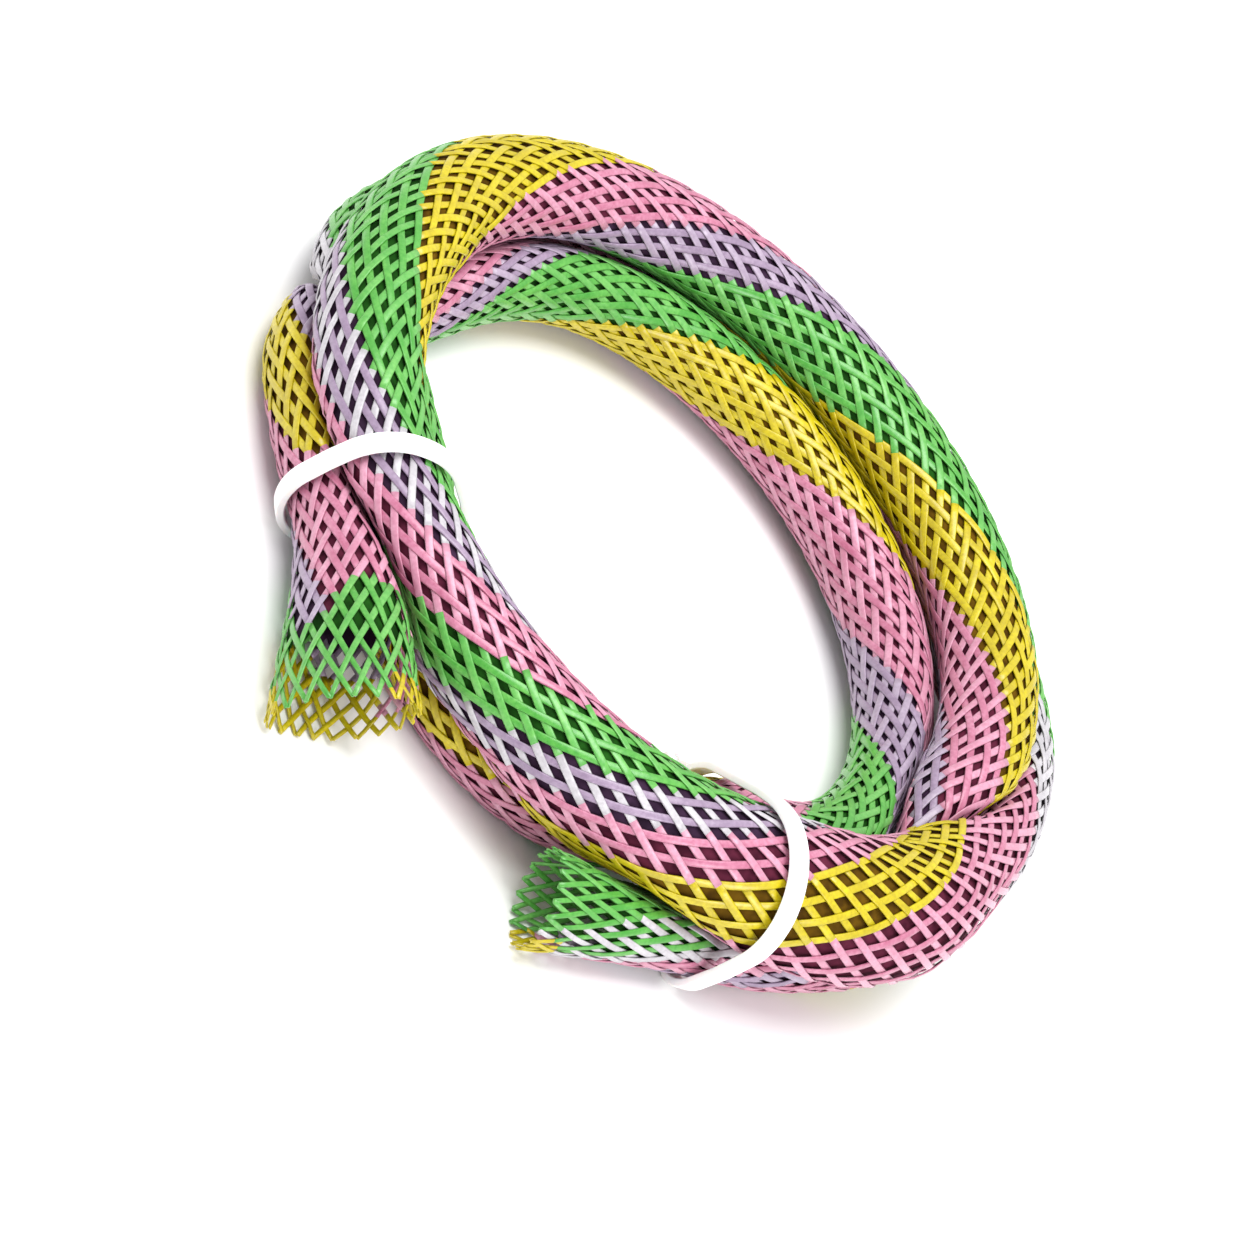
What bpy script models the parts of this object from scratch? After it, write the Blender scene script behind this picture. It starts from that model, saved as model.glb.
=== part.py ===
"""Braided cable sleeve: a metre of tubular braid, wound flat and tied twice.

The sleeve is one long tube. It is coiled nearly three times round, its turns
press on each other, and both cut ends flare out of the bundle beside a tie.
Metres, +Z up. The coil lies on z = 0 with its box centred on the origin.
"""
import math

import bmesh
import bpy
from mathutils import Matrix, Vector

# The sleeve.
SLEEVE_RADIUS = 0.0075
SLEEVE_WALL = 0.0006
COIL_RADIUS = 0.0526
TURN_CLEARANCE = 0.0004

# The cut ends: how far each runs on past its tie, and how wide it opens.
FIRST_TAIL_LENGTH = 0.0383
FIRST_MOUTH_RADIUS = 0.0095
SECOND_TAIL_LENGTH = 0.0344
SECOND_MOUTH_RADIUS = 0.0068

# The cable ties.
TIE_WIDTH = 0.0026
TIE_THICKNESS = 0.0011
TIE_CLEARANCE = 0.0003
TIE_FLOOR_CLEARANCE = 0.0001
TIE_HEAD_LENGTH = 0.0046
TIE_HEAD_WIDTH = 0.0044
TIE_HEAD_HEIGHT = 0.0030
TIE_HEAD_BEVEL = 0.0004

# Where each tie is, in degrees of the plan, and how far it is turned from
# square across the bundle.
TIES = ((237.5, -14.0), (-47.0, 6.0))

# Where the sleeve's travel begins and ends, and how fine the meshes are.
START_ANGLE = 234.0
TRAVEL_STEP = 7.2
TRAVEL_END = 993.6
SECTION_SIDES = 14
TAIL_STATIONS = 7
TIE_SIDES = 44

# The route. Travel counts clockwise degrees of the plan from the start angle.
# The shift out of the coil radius, the height over the floor and the tube's own
# radius there are in sleeve radii.
ROUTE = (
    (0, 0.12, 1.10, 0.97),
    (12, 0.06, 0.96, 0.97),
    (24, 0.10, 0.84, 0.95),
    (35, -0.14, 0.78, 0.91),
    (47, -0.80, 0.86, 0.87),
    (62, -1.08, 0.98, 0.84),
    (100, -1.00, 1.05, 0.84),
    (150, -1.14, 1.04, 0.84),
    (190, -1.27, 1.02, 0.84),
    (215, -1.30, 1.00, 0.84),
    (245, -1.32, 1.00, 0.86),
    (262, -1.38, 1.15, 0.88),
    (276, -1.36, 1.42, 0.90),
    (300, -0.68, 1.00, 0.95),
    (312, -0.50, 0.88, 0.98),
    (326, -0.52, 0.87, 1.00),
    (345, -0.75, 1.00, 0.95),
    (358, -0.98, 1.30, 0.92),
    (372, -0.84, 1.42, 0.90),
    (385, -0.46, 1.42, 0.90),
    (396, -0.08, 1.28, 0.90),
    (408, 0.14, 1.05, 0.92),
    (425, 0.18, 0.88, 0.94),
    (450, 0.12, 0.84, 0.95),
    (512, 0.12, 0.86, 0.95),
    (526, 0.46, 0.93, 0.95),
    (540, 0.98, 1.08, 0.95),
    (556, 0.97, 1.22, 0.95),
    (572, 0.56, 1.48, 0.97),
    (592, 0.20, 1.80, 1.02),
    (612, 0.30, 1.96, 1.26),
    (634, 0.20, 1.98, 1.36),
    (660, 0.12, 1.96, 1.16),
    (684, -0.04, 1.92, 1.00),
    (705, -0.10, 1.84, 1.00),
    (720, -0.12, 1.80, 1.00),
    (735, -0.04, 1.94, 1.00),
    (750, -0.04, 2.10, 1.02),
    (765, -0.07, 2.14, 1.02),
    (785, -0.04, 2.05, 1.00),
    (850, 0.00, 2.00, 1.00),
    (900, -0.02, 2.00, 1.00),
    (930, -0.35, 1.93, 1.00),
    (946, -0.46, 1.62, 0.98),
    (957, -0.10, 1.22, 0.95),
    (967, 0.20, 0.96, 0.95),
    (980, 0.22, 0.85, 0.88),
    (996, 0.52, 0.78, 0.68),
)

# Each tail: its heading against the coil's tangent in its first half and at its
# mouth, in degrees outward, the mouth's height in sleeve radii, and how its cut
# slants: turned outward, in degrees, and leaning out at the top, as a share of
# its height.
FIRST_TAIL = (16.0, 18.0, 1.10, -20.0, 0.30)
SECOND_TAIL = (5.0, 1.0, 0.86, -17.5, 0.20)

# How sharply a pressed section turns from round to flat.
PRESS = 10.0
# Stations of one turn that never press on each other.
OWN_STATIONS = 9
# How far a section reaches into the floor before the floor flattens it.
FLOOR_PRESS = 0.0008
# The ties hold the bundle just off the floor, this far to each side of them.
LIFT_REACH = 0.0140


def clear_scene():
    for thing in list(bpy.data.objects):
        bpy.data.objects.remove(thing, do_unlink=True)


def on_route(travel):
    """Shift, height and girth at a travel, on a smooth curve through ROUTE."""
    last = len(ROUTE) - 1
    i = 0
    while i < last - 1 and ROUTE[i + 1][0] <= travel:
        i += 1
    before, start = ROUTE[max(i - 1, 0)], ROUTE[i]
    end, after = ROUTE[i + 1], ROUTE[min(i + 2, last)]
    span = end[0] - start[0]
    t = (travel - start[0]) / span
    values = []
    for k in (1, 2, 3):
        slope_start = (end[k] - before[k]) / (end[0] - before[0]) * span
        slope_end = (after[k] - start[k]) / (after[0] - start[0]) * span
        values.append(
            (2 * t**3 - 3 * t**2 + 1) * start[k]
            + (t**3 - 2 * t**2 + t) * slope_start
            + (3 * t**2 - 2 * t**3) * end[k]
            + (t**3 - t**2) * slope_end
        )
    return values


def tie_plane(angle, skew):
    """A tie's direction out of the eye, the normal of its plane, and its offset."""
    turned = math.radians(angle + skew)
    outward = Vector((math.cos(turned), math.sin(turned), 0.0))
    along = Vector((-outward.y, outward.x, 0.0))
    return outward, along, -COIL_RADIUS * math.sin(math.radians(skew))


def floor_under(place):
    """The level that holds the sleeve up there: the floor, or the strap of a tie."""
    lift = TIE_CLEARANCE + TIE_THICKNESS + TIE_FLOOR_CLEARANCE
    near = 0.0
    for angle, skew in TIES:
        outward, along, offset = tie_plane(angle, skew)
        if place.dot(outward) > 0:
            near = max(near, 1.0 - abs(place.dot(along) - offset) / LIFT_REACH)
    return lift * min(2.0 * near, 1.0)


def coil_station(travel):
    """Centre, outward direction, radius, lean and floor level at a travel."""
    shift, height, girth = on_route(travel)
    angle = math.radians(START_ANGLE - travel)
    outward = Vector((math.cos(angle), math.sin(angle), 0.0))
    centre = outward * (COIL_RADIUS + shift * SLEEVE_RADIUS)
    centre.z = height * SLEEVE_RADIUS
    return centre, outward, SLEEVE_RADIUS * girth, Vector(), floor_under(centre)


def tail_stations(travel, way, tail, length, mouth_radius):
    """Stations from a tie out to the mouth; way is 1 along the travel, else -1."""
    start, outward, radius, _, _ = coil_station(travel)
    leave, arrive, mouth_height, mouth_turn, mouth_lean = tail
    along = Vector((outward.y, -outward.x, 0.0)) * way
    first = along * math.cos(math.radians(leave)) + outward * math.sin(math.radians(leave))
    final = along * math.cos(math.radians(arrive)) + outward * math.sin(math.radians(arrive))
    mouth = start + (first + final) * (length / 2)
    mouth.z = mouth_height * SLEEVE_RADIUS
    pull = length / 3
    bends = (start, start + along * pull, mouth - final * pull, mouth)
    stations = []
    for i in range(1, TAIL_STATIONS + 1):
        t = i / TAIL_STATIONS
        u = 1 - t
        weights = (u**3, 3 * u * u * t, 3 * u * t * t, t**3)
        slopes = (-3 * u * u, 3 * u * u - 6 * u * t, 6 * u * t - 3 * t * t, 3 * t * t)
        centre = sum((p * w for p, w in zip(bends, weights)), Vector())
        facing = sum((p * w for p, w in zip(bends, slopes)), Vector()).normalized()
        facing.rotate(Matrix.Rotation(math.radians(mouth_turn * way * t * t), 3, "Z"))
        side = Vector((-facing.y, facing.x, 0.0)).normalized() * way
        flare = radius + (mouth_radius - radius) * t * t
        lean = facing * (mouth_lean * t * t)
        stations.append((centre, side, flare, lean, floor_under(centre)))
    return stations


def sleeve_stations():
    """Every station of the sleeve, from its first cut end to its second."""
    count = round(TRAVEL_END / TRAVEL_STEP)
    coil = [coil_station(i * TRAVEL_STEP) for i in range(count + 1)]
    first = tail_stations(0.0, -1, FIRST_TAIL, FIRST_TAIL_LENGTH, FIRST_MOUTH_RADIUS)
    second = tail_stations(
        TRAVEL_END, 1, SECOND_TAIL, SECOND_TAIL_LENGTH, SECOND_MOUTH_RADIUS
    )
    return first[::-1] + coil + second


def pressing_planes(stations, i):
    """The planes between a station and the turns around it, as its section sees them."""
    centre, side, radius, _, floor = stations[i]
    planes = [(0.0, -1.0, centre.z - floor + FLOOR_PRESS)]
    reach = 3.2 * SLEEVE_RADIUS
    for j, (other, _, other_radius, _, _) in enumerate(stations):
        to_other = other - centre
        distance = to_other.length
        if abs(i - j) < OWN_STATIONS or distance > reach:
            continue
        across, up = to_other.dot(side), to_other.z
        in_section = math.hypot(across, up)
        if in_section > 0.2 * distance:
            share = radius / (radius + other_radius)
            stand_off = distance * distance / in_section * share - TURN_CLEARANCE / 2
            planes.append((across / in_section, up / in_section, stand_off))
    return planes


def section(stations, i, sides=SECTION_SIDES):
    """Distances from the centre to the pressed outline, one for each side."""
    free = stations[i][2]
    planes = pressing_planes(stations, i)
    outline = []
    for k in range(sides):
        turn = 2 * math.pi * k / sides
        across, up = math.cos(turn), math.sin(turn)
        push = max((across * a + up * u) / d for a, u, d in planes)
        pressed = free**-PRESS + max(push, 0.0) ** PRESS
        outline.append(pressed ** (-1 / PRESS))
    return outline


def ring_points(station, outline, inset=0.0):
    """The outline's points in space, held at or above the floor."""
    centre, side, _, lean, floor = station
    points = []
    for k, radius in enumerate(outline):
        turn = 2 * math.pi * k / len(outline)
        point = centre + side * (math.cos(turn) * (radius - inset))
        height = max(math.sin(turn) * (radius - inset), floor + inset - centre.z)
        points.append(point + lean * height + Vector((0.0, 0.0, height)))
    return points


def sleeve_surfaces():
    """Rings of points of the sleeve's outer and inner faces."""
    stations = sleeve_stations()
    outlines = [section(stations, i) for i in range(len(stations))]
    outer = [ring_points(s, o) for s, o in zip(stations, outlines)]
    inner = [ring_points(s, o, SLEEVE_WALL) for s, o in zip(stations, outlines)]
    return outer, inner


def mesh_object(name, points, faces, material):
    mesh = bpy.data.meshes.new(name)
    mesh.from_pydata(points, [], faces)
    shape = bmesh.new()
    shape.from_mesh(mesh)
    bmesh.ops.recalc_face_normals(shape, faces=shape.faces[:])
    shape.to_mesh(mesh)
    shape.free()
    mesh.materials.append(material)
    made = bpy.data.objects.new(name, mesh)
    bpy.context.collection.objects.link(made)
    return made


def bridged(rings, closed):
    """Faces between each ring of points and the next, counting points in order."""
    sides = len(rings[0])
    last = len(rings) if closed else len(rings) - 1
    faces = []
    for r in range(last):
        here, there = r * sides, (r + 1) % len(rings) * sides
        for k in range(sides):
            following = (k + 1) % sides
            faces.append((here + k, here + following, there + following, there + k))
    return faces


def make_sleeve(outer, inner, shift, material):
    """One tube: out along the outer face, back along the inner, closed at both rims."""
    rings = outer + inner[::-1]
    points = [p + shift for ring in rings for p in ring]
    sleeve = mesh_object("braided_sleeve", points, bridged(rings, True), material)
    sleeve.data.shade_smooth()
    sleeve.data.set_sharp_from_angle(angle=math.radians(50))
    return sleeve


def tied_points(angle, skew):
    """The bundle's surface where a tie crosses it, in the tie's own plane."""
    outward, along, offset = tie_plane(angle, skew)
    outer, _ = sleeve_surfaces()
    points = []
    for ring, following in zip(outer, outer[1:]):
        for here, there in zip(ring, following):
            if here.dot(outward) < 0:
                continue
            a, b = here.dot(along) - offset, there.dot(along) - offset
            for edge in (-TIE_WIDTH / 2, 0.0, TIE_WIDTH / 2):
                if min(a, b) <= edge < max(a, b):
                    crossing = here.lerp(there, (edge - a) / (b - a))
                    points.append((crossing.dot(outward), crossing.z))
    return points


def taut_loop(points, offset):
    """The taut band round points, pushed out by offset, from its support lines."""
    step = 2 * math.pi / TIE_SIDES
    ways = [(math.cos(k * step), math.sin(k * step)) for k in range(TIE_SIDES)]
    reach = [max(x * c + y * s for x, y in points) + offset for c, s in ways]
    loop = []
    for k in range(TIE_SIDES):
        (c0, s0), h0 = ways[k - 1], reach[k - 1]
        (c1, s1), h1 = ways[k], reach[k]
        loop.append(((h0 * s1 - h1 * s0) / math.sin(step), (h1 * c0 - h0 * c1) / math.sin(step)))
    return loop


def make_tie(name, angle, skew, shift, material):
    """A flat strap round the bundle, with its square head in the coil's eye."""
    outward, along, offset = tie_plane(angle, skew)
    shift = shift + along * offset
    points = tied_points(angle, skew)
    inside = taut_loop(points, TIE_CLEARANCE)
    outside = taut_loop(points, TIE_CLEARANCE + TIE_THICKNESS)
    half = along * (TIE_WIDTH / 2)

    def placed(loop, offset):
        return [outward * x + Vector((0.0, 0.0, y)) + offset + shift for x, y in loop]

    rings = [placed(inside, -half), placed(outside, -half)]
    rings += [placed(outside, half), placed(inside, half)]
    corners = [p for ring in rings for p in ring]
    tie = mesh_object(name, corners, bridged(rings, True), material)

    left = min(range(len(outside)), key=lambda k: outside[k][0])
    seat = outward * outside[left][0] + Vector((0.0, 0.0, outside[left][1]))
    head_mesh = bpy.data.meshes.new(name + "_head")
    head_shape = bmesh.new()
    bmesh.ops.create_cube(head_shape, size=1.0)
    for corner in head_shape.verts:
        corner.co.x *= TIE_HEAD_HEIGHT + TIE_THICKNESS
        corner.co.y *= TIE_HEAD_WIDTH
        corner.co.z *= TIE_HEAD_LENGTH
    bmesh.ops.bevel(
        head_shape,
        geom=head_shape.edges[:],
        offset=TIE_HEAD_BEVEL,
        segments=1,
        affect="EDGES",
    )
    head_shape.to_mesh(head_mesh)
    head_shape.free()
    head = bpy.data.objects.new(name + "_head", head_mesh)
    bpy.context.collection.objects.link(head)
    head.location = seat + outward * ((TIE_THICKNESS - TIE_HEAD_HEIGHT) / 2) + shift
    head.rotation_euler.z = math.atan2(outward.y, outward.x)
    head.hide_render = True
    head.display_type = "WIRE"

    join = tie.modifiers.new("head", "BOOLEAN")
    join.operation = "UNION"
    join.object = head
    return tie


def plastic(name, colour, roughness):
    material = bpy.data.materials.new(name)
    material.use_nodes = True
    shader = material.node_tree.nodes["Principled BSDF"]
    shader.inputs["Base Color"].default_value = (*colour, 1.0)
    shader.inputs["Roughness"].default_value = roughness
    shader.inputs["Metallic"].default_value = 0.0
    return material


def main():
    clear_scene()
    outer, inner = sleeve_surfaces()
    points = [p for ring in outer for p in ring]
    middle = Vector(
        (
            -(min(p.x for p in points) + max(p.x for p in points)) / 2,
            -(min(p.y for p in points) + max(p.y for p in points)) / 2,
            0.0,
        )
    )
    braid = plastic("polyester_braid", (0.45, 0.55, 0.20), 0.45)
    nylon = plastic("white_nylon", (0.90, 0.90, 0.90), 0.35)
    make_sleeve(outer, inner, middle, braid)
    for name, (angle, skew) in zip(("cable_tie_left", "cable_tie_right"), TIES):
        make_tie(name, angle, skew, middle, nylon)


main()
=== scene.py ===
# %% [markdown]
# # A braided cable sleeve, coiled and tied
# The real object is about a metre of expandable braid: forty flat strands of
# polyester monofilament, twenty running each way round a tube, in dyed stripes. It
# is wound nearly three times round and held by two nylon cable ties. The packed
# model has the sleeve as one plain tube. This scene weaves every strand on that
# tube, because the open mesh and its stripes are what the eye sees first.

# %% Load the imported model
import math

import bmesh
import bpy
import numpy as np
from mathutils import Matrix, Vector


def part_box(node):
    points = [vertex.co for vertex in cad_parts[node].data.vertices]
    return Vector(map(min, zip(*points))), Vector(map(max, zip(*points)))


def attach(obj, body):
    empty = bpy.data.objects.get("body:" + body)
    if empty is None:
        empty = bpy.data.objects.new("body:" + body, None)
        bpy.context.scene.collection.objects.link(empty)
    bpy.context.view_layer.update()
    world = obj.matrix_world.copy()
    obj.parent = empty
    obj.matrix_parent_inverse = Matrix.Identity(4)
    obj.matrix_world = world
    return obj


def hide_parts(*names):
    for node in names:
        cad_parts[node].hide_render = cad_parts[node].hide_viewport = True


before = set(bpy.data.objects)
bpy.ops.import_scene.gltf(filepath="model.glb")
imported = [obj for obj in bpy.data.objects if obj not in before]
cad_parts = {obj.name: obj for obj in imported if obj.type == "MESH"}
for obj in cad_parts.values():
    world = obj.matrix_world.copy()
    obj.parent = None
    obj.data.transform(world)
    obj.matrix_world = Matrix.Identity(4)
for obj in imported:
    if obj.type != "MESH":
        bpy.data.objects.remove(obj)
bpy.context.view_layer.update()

sleeve_low, sleeve_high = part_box("braided_sleeve")

# %% [markdown]
# ## The route of the sleeve
# A strand can only lie right if the tube under it is known exactly, so the route
# is the one that the model was made from. Each row of ROUTE is a place in degrees
# of travel round the coil. The other three numbers are in radii of the sleeve: how
# far the tube lies out of the coil's radius, how high, and how thick it is. A
# smooth curve through the table gives every point between.

# %% The sleeve's sizes and its route
SLEEVE_RADIUS = 0.0075
COIL_RADIUS = 0.0526
START_ANGLE = 234.0
TRAVEL_END = 993.6
ROUTE = (
    (0, 0.12, 1.10, 0.97),
    (12, 0.06, 0.96, 0.97),
    (24, 0.10, 0.84, 0.95),
    (35, -0.14, 0.78, 0.91),
    (47, -0.80, 0.86, 0.87),
    (62, -1.08, 0.98, 0.84),
    (100, -1.00, 1.05, 0.84),
    (150, -1.14, 1.04, 0.84),
    (190, -1.27, 1.02, 0.84),
    (215, -1.30, 1.00, 0.84),
    (245, -1.32, 1.00, 0.86),
    (262, -1.38, 1.15, 0.88),
    (276, -1.36, 1.42, 0.90),
    (300, -0.68, 1.00, 0.95),
    (312, -0.50, 0.88, 0.98),
    (326, -0.52, 0.87, 1.00),
    (345, -0.75, 1.00, 0.95),
    (358, -0.98, 1.30, 0.92),
    (372, -0.84, 1.42, 0.90),
    (385, -0.46, 1.42, 0.90),
    (396, -0.08, 1.28, 0.90),
    (408, 0.14, 1.05, 0.92),
    (425, 0.18, 0.88, 0.94),
    (450, 0.12, 0.84, 0.95),
    (512, 0.12, 0.86, 0.95),
    (526, 0.46, 0.93, 0.95),
    (540, 0.98, 1.08, 0.95),
    (556, 0.97, 1.22, 0.95),
    (572, 0.56, 1.48, 0.97),
    (592, 0.20, 1.80, 1.02),
    (612, 0.30, 1.96, 1.26),
    (634, 0.20, 1.98, 1.36),
    (660, 0.12, 1.96, 1.16),
    (684, -0.04, 1.92, 1.00),
    (705, -0.10, 1.84, 1.00),
    (720, -0.12, 1.80, 1.00),
    (735, -0.04, 1.94, 1.00),
    (750, -0.04, 2.10, 1.02),
    (765, -0.07, 2.14, 1.02),
    (785, -0.04, 2.05, 1.00),
    (850, 0.00, 2.00, 1.00),
    (900, -0.02, 2.00, 1.00),
    (930, -0.35, 1.93, 1.00),
    (946, -0.46, 1.62, 0.98),
    (957, -0.10, 1.22, 0.95),
    (967, 0.20, 0.96, 0.95),
    (980, 0.22, 0.85, 0.88),
    (996, 0.52, 0.78, 0.68),
)


def on_route(travel):
    """Shift, height and girth at each travel, on a smooth curve through ROUTE."""
    keys = np.array(ROUTE, float)
    last = len(keys) - 1
    at = np.clip(np.searchsorted(keys[:, 0], travel, side="right") - 1, 0, last - 1)
    before, start = keys[np.maximum(at - 1, 0)], keys[at]
    end, after = keys[at + 1], keys[np.minimum(at + 2, last)]
    span = end[:, :1] - start[:, :1]
    t = (travel[:, None] - start[:, :1]) / span
    leaving = (end - before) / (end[:, :1] - before[:, :1]) * span
    arriving = (after - start) / (after[:, :1] - start[:, :1]) * span
    value = (2 * t**3 - 3 * t**2 + 1) * start + (t**3 - 2 * t**2 + t) * leaving
    value += (3 * t**2 - 2 * t**3) * end + (t**3 - t**2) * arriving
    return value[:, 1:]


def coil_stations(travel):
    """Centres, outward directions, radii and leans at each travel round the coil."""
    shift, height, girth = on_route(travel).T
    angle = np.radians(START_ANGLE - travel)
    outward = np.column_stack((np.cos(angle), np.sin(angle), 0 * angle))
    centre = outward * (COIL_RADIUS + shift * SLEEVE_RADIUS)[:, None]
    centre[:, 2] = height * SLEEVE_RADIUS
    return centre, outward, SLEEVE_RADIUS * girth, np.zeros_like(centre)


print("route keys:", len(ROUTE), "turns:", round(TRAVEL_END / 360, 2))

# %% [markdown]
# ## The two cut ends
# Past its tie each end runs straight out, opens like a funnel, and is cut on a
# slant. A Bezier curve carries the centre from the coil to the mouth, while the
# sections slowly turn and lean until the last one lies in the slanted cut. The
# five numbers of a tail are the angles at which it leaves the coil and reaches the
# mouth, the mouth's height in radii of the sleeve, and how far the cut turns and
# leans.

# %% The cut ends
FIRST_TAIL_LENGTH = 0.0383
FIRST_MOUTH_RADIUS = 0.0095
FIRST_TAIL = (16.0, 18.0, 1.10, -20.0, 0.30)
SECOND_TAIL_LENGTH = 0.0344
SECOND_MOUTH_RADIUS = 0.0068
SECOND_TAIL = (5.0, 1.0, 0.86, -17.5, 0.20)
TAIL_STEPS = 24


def tail_stations(travel, way, tail, length, mouth_radius):
    """Stations from a tie out to a cut end; way is 1 along the travel, else -1."""
    (start,), (outward,), (radius,), _ = coil_stations(np.array([travel]))
    leave, arrive, mouth_height, mouth_turn, mouth_lean = tail
    along = np.array((outward[1], -outward[0], 0.0)) * way
    first = along * math.cos(math.radians(leave)) + outward * math.sin(math.radians(leave))
    final = along * math.cos(math.radians(arrive)) + outward * math.sin(math.radians(arrive))
    mouth = start + (first + final) * (length / 2)
    mouth[2] = mouth_height * SLEEVE_RADIUS
    pull = length / 3
    bends = np.array((start, start + along * pull, mouth - final * pull, mouth))
    t = (np.arange(TAIL_STEPS) + 1)[:, None] / TAIL_STEPS
    u = 1 - t
    centre = np.hstack((u**3, 3 * u * u * t, 3 * u * t * t, t**3)) @ bends
    slopes = (-3 * u * u, 3 * u * u - 6 * u * t, 6 * u * t - 3 * t * t, 3 * t * t)
    facing = np.hstack(slopes) @ bends
    facing /= np.linalg.norm(facing, axis=1)[:, None]
    turned = np.radians(mouth_turn * way * t[:, 0] ** 2)
    x = facing[:, 0] * np.cos(turned) - facing[:, 1] * np.sin(turned)
    y = facing[:, 0] * np.sin(turned) + facing[:, 1] * np.cos(turned)
    side = np.column_stack((-y, x, 0 * x)) * way / np.hypot(x, y)[:, None]
    lean = np.column_stack((x, y, facing[:, 2])) * mouth_lean * t * t
    return centre, side, radius + (mouth_radius - radius) * t[:, 0] ** 2, lean


print("tails in mm:", FIRST_TAIL_LENGTH * 1000, SECOND_TAIL_LENGTH * 1000)

# %% [markdown]
# ## The skin that the strands lie on
# Where two turns touch, or a turn lies on the floor or on a tie's strap, the soft
# braid is pressed flat. Each section starts as a circle. Every neighbour presses it
# with a plane half way between the two, and a smooth minimum of circle and planes
# gives the pressed outline. The function skin() then answers where the surface is,
# for any run along the sleeve and any turn round it. Turn 0 is the side that faces
# out of the coil, and turn 0.25 is the top.

# %% Stations, and the floor or strap under them
TIES = (("cable_tie_left", 237.5, -14.0), ("cable_tie_right", -47.0, 6.0))
TIE_WIDTH = 0.0026
TIE_THICKNESS = 0.0011
TIE_CLEARANCE = 0.0003
TIE_FLOOR_CLEARANCE = 0.0001
LIFT_REACH = 0.0140
FADE_SHARE = 0.5
TRAVEL_STEP = 1.8


def tie_plane(angle, skew):
    """A tie's direction out of the eye, the normal of its plane, and its offset."""
    turned = math.radians(angle + skew)
    outward = np.array((math.cos(turned), math.sin(turned), 0.0))
    along = np.array((-outward[1], outward[0], 0.0))
    return outward, along, -COIL_RADIUS * math.sin(math.radians(skew))


def floor_under(places):
    """The level that holds the sleeve up at each place: the floor, or a tie's strap."""
    near = np.zeros(len(places))
    for _, angle, skew in TIES:
        outward, along, offset = tie_plane(angle, skew)
        close = 1.0 - np.abs(places @ along - offset) / LIFT_REACH
        near = np.maximum(near, np.where(places @ outward > 0, close, 0.0))
    lift = TIE_CLEARANCE + TIE_THICKNESS + TIE_FLOOR_CLEARANCE
    return lift * np.minimum(near / FADE_SHARE, 1.0)


travel = np.linspace(0.0, TRAVEL_END, round(TRAVEL_END / TRAVEL_STEP) + 1)
first = tail_stations(0.0, -1, FIRST_TAIL, FIRST_TAIL_LENGTH, FIRST_MOUTH_RADIUS)
second = tail_stations(TRAVEL_END, 1, SECOND_TAIL, SECOND_TAIL_LENGTH, SECOND_MOUTH_RADIUS)
stretches = zip([part[::-1] for part in first], coil_stations(travel), second)
centre, side, radius, lean = [np.concatenate(parts) for parts in stretches]
level = floor_under(centre)
steps = np.linalg.norm(np.diff(centre, axis=0), axis=1)
run = np.concatenate(([0.0], np.cumsum(steps)))
sleeve_length = run[-1]
print("stations:", len(run), "sleeve length in mm:", round(sleeve_length * 1000, 1))

# %% [markdown]
# A neighbour of a section is a place further than OWN_LENGTH along the sleeve, within
# NEIGHBOUR_REACH of it, and beside it rather than ahead of it. PRESS says how sharply
# the smooth minimum turns from the circle to a pressed side.

# %% Sections pressed by their neighbours
SECTION_SIDES = 96
TURN_CLEARANCE = 0.0004
OWN_LENGTH = 0.058
NEIGHBOUR_REACH = 3.2 * SLEEVE_RADIUS
BESIDE_SHARE = 0.2
FLOOR_PRESS = 0.0008
PRESS = 10.0


def pressed_outline(i, across, up):
    """How far the skin is from the centre of station i, all the way round."""
    reach = np.linalg.norm(centre - centre[i], axis=1)
    near = (np.abs(run - run[i]) > OWN_LENGTH) & (reach < NEIGHBOUR_REACH)
    to_other = centre[near] - centre[i]
    sideways, rise = to_other @ side[i], to_other[:, 2]
    in_section = np.hypot(sideways, rise)
    kept = in_section > BESIDE_SHARE * reach[near]
    push = np.maximum(-up / (centre[i, 2] - level[i] + FLOOR_PRESS), 0.0)
    if kept.any():
        share = radius[i] / (radius[i] + radius[near][kept])
        apart = reach[near][kept] ** 2 / in_section[kept] * share - TURN_CLEARANCE / 2
        toward = np.outer(across, sideways[kept]) + np.outer(up, rise[kept])
        push = np.maximum(push, (toward / in_section[kept] / apart).max(axis=1))
    return (radius[i] ** -PRESS + push**PRESS) ** (-1 / PRESS)


around = np.arange(SECTION_SIDES) * 2 * math.pi / SECTION_SIDES
outlines = np.array(
    [pressed_outline(i, np.cos(around), np.sin(around)) for i in range(len(run))]
)


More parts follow.
